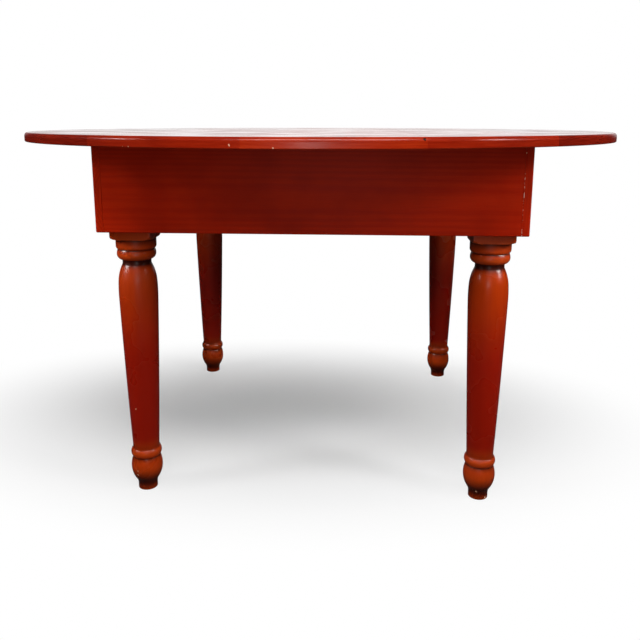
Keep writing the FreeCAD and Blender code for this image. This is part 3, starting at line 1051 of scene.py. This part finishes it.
    def build(self, finish: Material) -> None:
        """Make the four legs.

        Args:
            finish: Their finish.
        """
        for depth, side_y in (("front", -1.0), ("back", 1.0)):
            for width, side_x in (("left", -1.0), ("right", 1.0)):
                corner = f"{depth}_{width}"
                leg = self.build_one("turned_leg_" + corner, side_x, side_y)
                dress(leg, finish, Slot.STAINED, "leg_" + corner)


# ---- Frame under the top


@dataclass
class UnderFrame:
    """Battens across the planks, braces in the corners and glue blocks in the angles."""

    inside_mm: float = 398.5
    underside_mm: float = 743.0
    batten_mm: Triple = (60.0, 22.0, 12.0)
    batten_places_mm: Triple = (-190.0, 0.0, 190.0)
    brace_outer_mm: float = 104.97
    brace_thick_mm: float = 22.0
    brace_low_mm: float = 615.0
    brace_high_mm: float = 715.0
    tongue_mm: Pair = (5.0, 6.0)
    glue_side_mm: float = 28.0
    glue_long_mm: float = 80.0
    glue_place_mm: float = 95.0
    arris_mm: float = 1.2

    def batten(self, y: float) -> np.ndarray:
        """Side view of a batten, bevelled under each end, carried across its width.

        Args:
            y: Middle of the batten in millimetres.

        Returns:
            Two rings of points in metres.
        """
        wide, thick, slope = self.batten_mm
        half = self.inside_mm
        view = np.array([
            [-half, 0.0], [-half, slope - thick], [slope - half, -thick],
            [half - slope, -thick], [half, slope - thick], [half, 0.0],
        ])
        across = np.array([[y - wide / 2.0], [y + wide / 2.0]])
        return spread(view[:, 0], across, view[:, 1] + self.underside_mm) * MM

    def brace(self, corner: int) -> np.ndarray:
        """Plan of a brace with the inner corner of the apron at its origin, carried upwards.

        Args:
            corner: Quarter turns from the front left corner.

        Returns:
            Two rings of points in metres.
        """
        outer, inner = self.brace_outer_mm, self.brace_outer_mm + self.brace_thick_mm
        wide, deep = (size / math.sqrt(2.0) for size in self.tongue_mm)
        near, far = (outer + inner - wide) / 2.0, (outer + inner + wide) / 2.0
        right = np.array([
            [outer, outer], [near, near], [near + deep, near - deep],
            [far + deep, far - deep], [far, far], [inner, inner],
        ])
        plan = np.concatenate([right, right[::-1] * [-1.0, 1.0]])
        heights = np.array([[self.brace_low_mm], [self.brace_high_mm]])
        grid = spun(spread(plan[:, 0], plan[:, 1], heights), -QUARTER / 2.0)
        grid = grid + np.array([-self.inside_mm, -self.inside_mm, 0.0])
        return spun(grid, corner * QUARTER) * MM

    def glue_block(self, side: int, middle: float) -> np.ndarray:
        """Triangle in the angle of the right board and the top, carried along the board.

        Args:
            side: Quarter turns from the right board.
            middle: Place of the block along the board in millimetres.

        Returns:
            Two rings of points in metres.
        """
        inside, under, leg = self.inside_mm, self.underside_mm, self.glue_side_mm
        view = np.array([[inside, under], [inside - leg, under], [inside, under - leg]])
        along = middle + np.array([[-0.5], [0.5]]) * self.glue_long_mm
        return spun(spread(view[:, 0], along, view[:, 1]), side * QUARTER) * MM

    def build(self, finishes: dict[str, Material]) -> None:
        """Make the battens, the braces and the glue blocks.

        Args:
            finishes: Finishes of wood whose grain runs across, along, rising and falling.
        """
        for name, y in zip(("front", "middle", "back"), self.batten_places_mm):
            piece = ring_group("cross_batten_" + name, [self.batten(y)], bevel_mm=self.arris_mm)
            dress(piece, finishes["across"], Slot.BARE, "batten_" + name)
        for corner, name in enumerate(("front_left", "front_right", "back_right", "back_left")):
            piece = ring_group("brace_" + name, [self.brace(corner)], bevel_mm=self.arris_mm / 2.0)
            finish = finishes["rising" if corner % 2 else "falling"]
            dress(piece, finish, Slot.BARE, "corner_brace_" + name)
        places = [(side, place) for side in range(4) for place in (-1.0, 1.0)]
        blocks = [self.glue_block(side, place * self.glue_place_mm) for side, place in places]
        piece = ring_group("glued_corner_blocks", blocks, bevel_mm=self.arris_mm)
        dress(piece, finishes["along"], Slot.BARE, "glue_blocks")
        # Five faces to a block: those on the front and back boards have their grain across
        turned = np.repeat([side % 2 for side, _ in places], 5)
        second_finish(piece, finishes["across"], turned)


@dataclass
class Fasteners:
    """Threaded hanger bolts, their nuts, and round-head screws through the battens."""

    corner_mm: float = 398.5
    brace_face_mm: float = 126.97
    bolt_height_mm: float = 665.0
    bolt_mm: float = 8.0
    bolt_in_mm: float = 73.0
    thread_in_mm: float = 32.0
    bolt_out_mm: float = 10.5
    pitch_mm: float = 1.25
    # A machine thread is about 0.61 of its pitch deep, and its ends are turned down
    thread_share: float = 0.61
    end_down_mm: float = 0.9
    nut_mm: Pair = (13.0, 6.5)
    # Rises from an end of the nut, and the reach of its bore and end cone at each
    cone_rises_mm: tuple[float, ...] = (0.0, 0.0, 0.17, 0.45, 0.75)
    cone_reach_mm: tuple[float, ...] = (4.1, 6.2, 6.5, 7.0, 7.6)
    screw_x_mm: tuple[float, ...] = (-380.0, -330.0, -130.0, -50.0, 156.0, 236.0, 374.0)
    screw_y_mm: tuple[float, ...] = (-190.0, 0.0, 190.0)
    screw_seat_mm: float = 721.0
    screw_head_mm: Pair = (8.0, 2.6)

    def on_diagonal(self, grid: np.ndarray, corner: int) -> np.ndarray:
        """Lay a shape drawn along +z from a brace's inner face on a corner's diagonal.

        Drawn z runs inwards along the diagonal, drawn x runs up and drawn y to the side.

        Args:
            grid: Points in millimetres.
            corner: Quarter turns from the front left corner.

        Returns:
            Points in metres.
        """
        out = self.corner_mm * math.sqrt(2.0) - self.brace_face_mm - grid[..., 2]
        laid = spread(grid[..., 1], -out, grid[..., 0] + self.bolt_height_mm)
        return spun(laid, (corner - 0.5) * QUARTER) * MM

    def bolt(self) -> np.ndarray:
        """Machine thread on the outer half: the radius falls by a saw of z / pitch - a / 2 pi.

        Returns:
            Rings of points in millimetres.
        """
        end = self.bolt_out_mm
        # A plain shank, six rings to each turn of the thread, and a tip that is turned down
        heights = np.concatenate([
            [-self.bolt_in_mm, -self.thread_in_mm],
            np.arange(-self.thread_in_mm + 0.2, end - 0.8, self.pitch_mm / 6.0),
            [end - 0.6, end],
        ])
        angles = np.linspace(0.0, TURN, 24, endpoint=False)
        phase = (heights[:, None] / self.pitch_mm - angles[None, :] / TURN) % 1.0
        groove = np.abs(phase * 2.0 - 1.0) * self.thread_share * self.pitch_mm
        groove[:2] = 0.0
        groove[-2:] = self.end_down_mm
        return round_about(self.bolt_mm / 2.0 - groove, heights, angles)

    def nut(self) -> np.ndarray:
        """Hexagon reach half / cos((a + 30 deg) mod 60 deg - 30 deg), held under end cones.

        Returns:
            Rings of points in millimetres, which close on themselves through the bore.
        """
        angles = np.linspace(0.0, TURN, 72, endpoint=False)
        flat, thick = self.nut_mm[0] / 2.0, self.nut_mm[1]
        hexagon = flat / np.cos((angles + TURN / 12.0) % (TURN / 6.0) - TURN / 12.0)
        rises, cones = np.array(self.cone_rises_mm), np.array(self.cone_reach_mm)
        heights = np.concatenate([rises, thick - rises[::-1]])
        limits = np.concatenate([cones, cones[::-1]])
        return round_about(np.minimum(limits[:, None], hexagon[None, :]), heights, angles)

    def screws(self) -> list[np.ndarray]:
        """Round heads: quarter-ellipse domes under the battens, wide cos t and high sin t.

        Returns:
            One grid for each screw, in metres.
        """
        angles = np.linspace(0.0, TURN, 24, endpoint=False)
        wide, high = self.screw_head_mm[0] / 2.0, self.screw_head_mm[1]
        # The head starts 0.4 mm inside the batten, and the last ring stands just off its tip
        rise = np.linspace(0.0, QUARTER - 0.12, 7)
        reach = np.append([wide], wide * np.cos(rise))
        drop = np.append([-0.4], high * np.sin(rise))
        head = round_about(reach[:, None], self.screw_seat_mm - drop, angles)
        return [
            (head + np.array([x, y, 0.0])) * MM for x in self.screw_x_mm for y in self.screw_y_mm
        ]

    def build(self, finish: Material) -> None:
        """Make the bolts, the nuts and the screws.

        Args:
            finish: Their finish.
        """
        bolts = [self.on_diagonal(self.bolt(), corner) for corner in range(4)]
        dress(ring_group("threaded_hanger_bolts", bolts), finish, Slot.STEEL, "hanger_bolts")
        nuts = [self.on_diagonal(self.nut(), corner) for corner in range(4)]
        dress(ring_group("hexagon_nuts", nuts, closed=True), finish, Slot.STEEL, "bolt_nuts")
        dress(ring_group("batten_screws", self.screws()), finish, Slot.STEEL)


# ---- Studio


@dataclass(frozen=True)
class Lamp:
    """A soft rectangular lamp, whose beam a grid before it can narrow; metres and watts."""

    name: str
    place: Triple
    height: float
    watts: float
    mirrored: bool = True
    aim: Triple = (0.0, 0.0, 0.45)
    spread_degrees: float = 180.0
    wide: float = 1.0

    def hang(self) -> None:
        """Add the lamp at its place, turned towards its aim, and unseen by the camera."""
        data = bpy.data.lights.new(self.name, "AREA")
        data.shape = "RECTANGLE"
        data.size, data.size_y = self.height * self.wide, self.height
        data.energy = self.watts
        data.spread = math.radians(self.spread_degrees)
        lamp = new_object(self.name, data)
        lamp.visible_camera, lamp.visible_glossy = False, self.mirrored
        lamp.location = self.place
        way = np.array(self.aim) - np.array(self.place)
        lamp.rotation_euler = (
            math.atan2(float(np.hypot(way[0], way[1])), -float(way[2])), 0.0,
            math.atan2(float(way[1]), float(way[0])) - QUARTER,
        )


@dataclass
class Studio:
    """White floor and surround, soft lamps and the photograph's camera."""

    eye: Triple = (0.0814, -1.7162, 0.7858)
    yaw_degrees: float = -3.156
    pitch_degrees: float = 11.406
    roll_degrees: float = -0.057
    focal_px: float = 686.3
    image_px: float = 640.0
    principal_px: Pair = (314.1, 259.2)
    sensor_mm: float = 36.0
    pool_middle: Triple = (-0.10, 0.06, 0.0)
    pool_size: Triple = (1.08, 0.66, 1.0)
    paper_tone: float = 0.56
    bounce_tone: float = 0.05
    matt_level: float = 0.06
    room_level: float = 0.02
    floor_half: float = 40.0
    lamps: tuple[Lamp, ...] = (
        Lamp("lamp_left", (-1.9, -0.85, 1.3), 0.5, 1.45, True, (-0.62, -0.30, 0.54), 36.0),
        Lamp("lamp_right", (1.8, -0.95, 1.3), 0.5, 1.55, True, (0.60, -0.30, 0.54), 36.0),
        Lamp("lamp_front", (0.08, -1.95, 0.75), 0.8, 5.4, False),
        Lamp("lamp_front_low", (0.0, -1.95, 0.62), 0.25, 1.0),
        Lamp("lamp_front_high", (0.15, -1.9, 2.3), 0.25, 42.0, wide=9.0),
        Lamp("lamp_top", (0.05, 0.65, 3.2), 1.6, 30.0, False),
        Lamp("lamp_back", (0.0, 2.5, 1.2), 1.2, 14.0, False),
    )

    def place_camera(self) -> None:
        """Set the camera at the place and angle that the photograph was taken from.

        Its right is turned by the yaw, its way forward by yaw and pitch, and both its right
        and its up by the roll.
        """
        data = bpy.data.cameras.new("camera")
        data.sensor_width = self.sensor_mm
        data.lens = self.focal_px / self.image_px * self.sensor_mm
        data.shift_x = 0.5 - self.principal_px[0] / self.image_px
        data.shift_y = self.principal_px[1] / self.image_px - 0.5
        yaw, pitch = math.radians(self.yaw_degrees), math.radians(self.pitch_degrees)
        level = math.cos(pitch)
        ahead = np.array([math.sin(yaw) * level, math.cos(yaw) * level, -math.sin(pitch)])
        right = np.array([math.cos(yaw), -math.sin(yaw), 0.0])
        up = np.cross(right, ahead)
        roll = math.radians(self.roll_degrees)
        cosine, sine = math.cos(roll), math.sin(roll)
        right, up = cosine * right - sine * up, sine * right + cosine * up
        camera = new_object("camera", data)
        camera.location = self.eye
        camera.rotation_euler = Matrix(np.stack([right, up, -ahead], axis=1).tolist()).to_euler()
        bpy.context.scene.camera = camera

    def light_world(self) -> None:
        """Light from all round: white to the eye, dim on matt faces.

        Reflections see a white wall straight behind the table and a dim room elsewhere.
        """
        world = bpy.data.worlds.new("surround")
        world.use_nodes = True
        bpy.context.scene.world = world
        tree = world.node_tree
        tree.nodes.clear()
        ray = add_node(tree, "LightPath")
        rays = {0: ray.outputs["Is Camera Ray"], 1: ray.outputs["Is Transmission Ray"]}
        seen = add_node(tree, "Math", {"operation": "MAXIMUM"}, rays).outputs[0]
        way = add_node(tree, "TexCoord").outputs["Generated"]
        ahead = add_node(tree, "SeparateXYZ", None, {0: way}).outputs["Y"]
        wall = {**EASED, 1: 0.78, 2: 0.93, 3: self.room_level, 4: 1.0}
        room = add_node(tree, "MapRange", wall, {0: ahead}).outputs[0]
        gloss = ray.outputs["Is Glossy Ray"]
        matt = add_node(tree, "Mix", {2: self.matt_level}, {0: gloss, 3: room}).outputs[0]
        level = add_node(tree, "Mix", {3: 1.0}, {0: seen, 2: matt}).outputs[0]
        white = {"Color": (1.0, 1.0, 1.0, 1.0)}
        glow = add_node(tree, "Background", white, {"Strength": level}).outputs[0]
        add_node(tree, "OutputWorld", None, {"Surface": glow})

    def lay_floor(self) -> None:
        """Lay a wide floor that takes the table's shadow and fades to white further away."""
        half = self.floor_half
        corners = [(-half, -half, 0.0), (half, -half, 0.0), (half, half, 0.0), (-half, half, 0.0)]
        mesh = bpy.data.meshes.new("floor")
        mesh.from_pydata(corners, [], [(0, 1, 2, 3)])
        floor = new_object("floor", mesh)
        material, tree = new_material("white studio paper")
        place = add_node(tree, "TexCoord").outputs["Object"]
        ray = add_node(tree, "LightPath").outputs["Is Camera Ray"]
        # The eye sees the table's shadow on the paper, and plain white outside the pool. What
        # the paper throws back at the table is little, as from a floor in shade
        pool = {"vector_type": "TEXTURE", "Location": self.pool_middle, "Scale": self.pool_size}
        oval = add_node(tree, "Mapping", pool, {"Vector": place}).outputs["Vector"]
        out = add_node(tree, "VectorMath", {"operation": "LENGTH"}, {0: oval}).outputs["Value"]
        open_share = add_node(tree, "MapRange", EASED, {0: out}).outputs[0]
        met, seen = ((grey, grey, grey, 1.0) for grey in (self.bounce_tone, self.paper_tone))
        tone = add_node(tree, "Mix", {**COLOURS, 6: met, 7: seen}, {0: ray}).outputs[2]
        fade = add_node(tree, "Math", TIMES, {0: open_share, 1: ray}).outputs[0]
        paper = add_node(tree, "BsdfDiffuse", None, {"Color": tone}).outputs[0]
        white = add_node(tree, "Emission", {"Strength": 1.0}).outputs[0]
        both = add_node(tree, "MixShader", None, {0: fade, 1: paper, 2: white}).outputs[0]
        # From below the floor is clear, so that the underside of the table can be looked at
        below = add_node(tree, "NewGeometry").outputs["Backfacing"]
        clear = add_node(tree, "BsdfTransparent").outputs[0]
        sheet = add_node(tree, "MixShader", None, {0: below, 1: both, 2: clear}).outputs[0]
        add_node(tree, "OutputMaterial", None, {"Surface": sheet})
        mesh.materials.append(material)

    def build(self) -> None:
        """Set up the floor, surround, lamps, camera and view."""
        self.place_camera()
        self.light_world()
        self.lay_floor()
        for lamp in self.lamps:
            lamp.hang()
        bpy.context.scene.view_settings.view_transform = "Standard"


def plank_finishes() -> list[tuple[Material, Material]]:
    """Finish the five planks, each from its own board: rubbed above, duller round the edge.
    The outer planks are darker as painted shade on the ends of the rim.

    Returns:
        From left to right, the finish of each upper face and of each edge.
    """
    chips = (
        Chip((-106.8, -664.0, 749.4), 1.5), Chip((-281.1, -610.9, 744.5), 1.2),
        Chip((-38.6, -671.4, 745.2), 1.2), Chip((191.8, -644.6, 758.6), 2.8, False),
        Chip((-292.0, -606.0, 744.2), 0.9),
    )
    plank = StainedWood(
        "cherry stain on plank", Grain.ALONG_Y, Growth((0.0, 0.0, 0.0), 5.0),
        "A92A10", "8C1C08", "6A0E04", surface=Surface.RUBBED_FACE, roughness=0.12, gloss=0.5,
        relief=0.03, ring_share=0.5, cloud_share=0.35,
    )
    # Tones step darker from the middle plank outwards: each board's own tone, and painted shade on
    # the ends of the rim
    boards = (
        (-520.0, 660.0, "8A1C07", "701104"), (-210.0, 640.0, "A4260A", "8A1805"),
        (60.0, 678.0, "B4300C", "9A1F06"), (330.0, 655.0, "A6270A", "8C1905"),
        (540.0, 690.0, "861A06", "6C1004"),
    )
    seams = (-1000.0, *PlankTop.seams_mm, 1000.0)
    finishes = []
    for number, (x, z, light, dark) in enumerate(boards):
        face = replace(
            plank, name=f"cherry stain on plank {number + 1}", light=light, dark=dark,
            growth=Growth((x, 0.0, z), 4.4 + 0.5 * (number % 3)),
            chips=tuple(c for c in chips if seams[number] < c.place_mm[0] <= seams[number + 1]),
        )
        edge = replace(
            face, name=f"cherry stain on the edge of plank {number + 1}", surface=Surface.CUT_EDGE,
            roughness=0.22, gloss=0.30,
        )
        finishes.append((face.build(), edge.build()))
    return finishes


def apron_finishes() -> dict[str, Material]:
    """Finish the four apron boards.

    Returns:
        The finish of each side.
    """
    across = StainedWood(
        "cherry stain on apron boards, grain left to right", Grain.ALONG_X,
        Growth((0.0, -330.0, 640.0), 6.0), "B42405", "A41C03", "801001",
        roughness=0.42, gloss=0.05, ring_share=0.3,
    )
    along = replace(
        across, name="cherry stain on apron boards, grain front to back", grain=Grain.ALONG_Y,
        growth=Growth((-330.0, 0.0, 640.0), 6.0), chips=(Chip((402.0, -417.5, 728.0), 1.3),),
        joints=(OpenJoint(402.2, 572.0, 690.0),),
    )
    front, side = across.build(), along.build()
    return {"front": front, "back": front, "left": side, "right": side}


def leg_finish() -> Material:
    """Finish the turned legs: glossier than the boards, with chips on their crests.

    Returns:
        The finish.
    """
    chips = (
        Chip((-366.5, -387.2, 191.5), 1.7), Chip((-376.3, -388.2, 360.4), 1.3),
        Chip((-368.9, -388.5, 50.4), 1.5), Chip((-369.9, -387.0, 40.2), 1.9),
        Chip((362.5, -387.1, 110.6), 1.4), Chip((350.0, -377.1, 20.7), 2.4),
        Chip((358.8, -379.5, 45.3), 1.3), Chip((370.3, -373.3, 5.2), 2.4),
    )
    # On the legs the recess colour is settled stain and painted shade, the rubbed colour is rubbing
    # and a painted highlight, and the band of the deep colour is painted shade
    return StainedWood(
        "cherry stain on turned legs", Grain.ALONG_Z, Growth((30.0, 160.0, 0.0), 5.0),
        "AE3604", "A43003", "840A01", stain_and_shade_colour="140101", rubbed="BC4612",
        surface=Surface.RUBBED_FACE, roughness=0.28, gloss=0.36, relief=0.004, ring_share=0.1,
        cloud_share=0.05, painted_shade_between_mm=(92.0, 125.0, 290.0, 520.0), chips=chips,
    ).build()


def pine_finishes() -> dict[str, Material]:
    """Finish the bare wood under the top, by the way that its grain runs.

    Returns:
        Finishes for grain across, along, rising and falling.
    """
    ways = {
        "across": ("left to right", Grain.ALONG_X, (0.0, 40.0, 610.0), 0.0),
        "along": ("front to back", Grain.ALONG_Y, (40.0, 0.0, 610.0), 0.0),
        "rising": ("on the rising slant", Grain.ALONG_X, (230.0, -230.0, 590.0), 45.0),
        "falling": ("on the falling slant", Grain.ALONG_X, (-230.0, -230.0, 590.0), -45.0),
    }
    return {
        key: BareWood("bare pine, grain " + way, grain, Growth(heart, 4.0, turn)).build()
        for key, (way, grain, heart, turn) in ways.items()
    }


def main() -> None:
    """Build the studio and the table, and report each piece."""
    logging.basicConfig(level=logging.INFO, format="%(message)s")
    Studio().build()
    PlankTop().build(plank_finishes())
    ApronBox().build(apron_finishes())
    TurnedLeg().build(leg_finish())
    UnderFrame().build(pine_finishes())
    Fasteners().build(PlainSteel().build())


if __name__ == "__main__":
    main()
